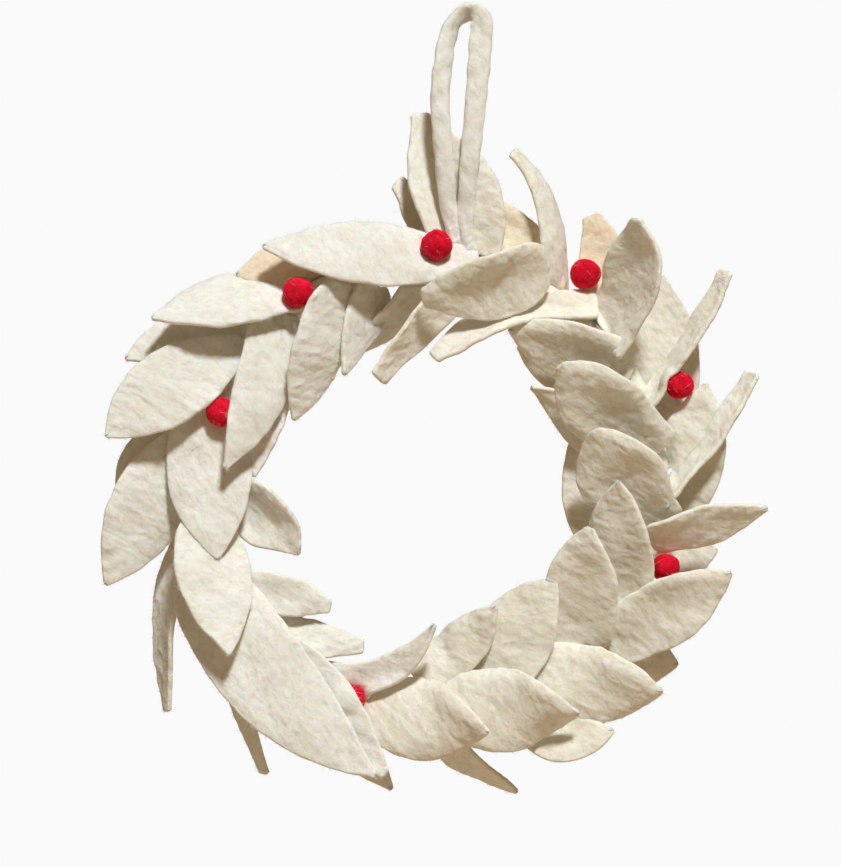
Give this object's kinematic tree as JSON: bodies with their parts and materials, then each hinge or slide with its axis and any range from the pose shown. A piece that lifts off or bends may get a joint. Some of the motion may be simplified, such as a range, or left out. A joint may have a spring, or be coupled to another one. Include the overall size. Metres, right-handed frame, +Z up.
{
  "type": "felt leaf wreath",
  "caption": "Hand-made wreath of overlapping cream wool-felt leaves with small red felt balls and a felt strap loop at the top to hang it by.",
  "frame": {"origin": "just under the inside top of the hanging loop, where a hook or nail bears", "axes": "+Z up, the front with the leaves' tips faces -Y, +X to the viewer's right"},
  "size_m": [0.4018, 0.0738, 0.4782],
  "materials": {
    "felt_leaf": "soft, slightly hairy cream wool felt",
    "felt_strap": "soft cream wool felt, twisted and creased",
    "felt_core": "cream wool felt wrapped over a ring",
    "felt_red": "felted wool, matt and slightly hairy"
  },
  "bodies": {
    "root": {"core_ring": "felt_core", "leaf_loop_1": "felt_leaf", "leaf_loop_2": "felt_leaf", "leaf_loop_3": "felt_leaf", "leaf_top_1": "felt_leaf", "leaf_top_2": "felt_leaf", "leaf_top_3": "felt_leaf", "leaf_upper_left_1": "felt_leaf", "leaf_upper_left_2": "felt_leaf", "leaf_upper_left_3": "felt_leaf", "leaf_upper_left_4": "felt_leaf", "leaf_upper_left_5": "felt_leaf", "leaf_upper_left_6": "felt_leaf", "leaf_upper_left_7": "felt_leaf", "leaf_upper_left_8": "felt_leaf", "leaf_upper_left_9": "felt_leaf", "leaf_left_1": "felt_leaf", "leaf_left_2": "felt_leaf", "leaf_left_3": "felt_leaf", "leaf_left_4": "felt_leaf", "leaf_left_5": "felt_leaf", "leaf_left_6": "felt_leaf", "leaf_lower_left_1": "felt_leaf", "leaf_lower_left_2": "felt_leaf", "leaf_lower_left_3": "felt_leaf", "leaf_lower_left_4": "felt_leaf", "leaf_lower_left_5": "felt_leaf", "leaf_lower_left_6": "felt_leaf", "leaf_bottom_1": "felt_leaf", "leaf_bottom_2": "felt_leaf", "leaf_bottom_3": "felt_leaf", "leaf_bottom_4": "felt_leaf", "leaf_bottom_5": "felt_leaf", "leaf_bottom_6": "felt_leaf", "leaf_bottom_7": "felt_leaf", "leaf_lower_right_1": "felt_leaf", "leaf_lower_right_2": "felt_leaf", "leaf_lower_right_3": "felt_leaf", "leaf_lower_right_4": "felt_leaf", "leaf_lower_right_5": "felt_leaf", "leaf_right_1": "felt_leaf", "leaf_right_2": "felt_leaf", "leaf_right_3": "felt_leaf", "leaf_right_4": "felt_leaf", "leaf_right_5": "felt_leaf", "leaf_right_6": "felt_leaf", "leaf_right_7": "felt_leaf", "leaf_right_8": "felt_leaf", "leaf_upper_right_1": "felt_leaf", "leaf_upper_right_2": "felt_leaf", "leaf_upper_right_3": "felt_leaf", "leaf_upper_right_4": "felt_leaf", "hanging_loop": "felt_strap", "ball_1": "felt_red", "ball_2": "felt_red", "ball_3": "felt_red", "ball_4": "felt_red", "ball_5": "felt_red", "ball_6": "felt_red", "ball_7": "felt_red"}
  },
  "joints": []
}
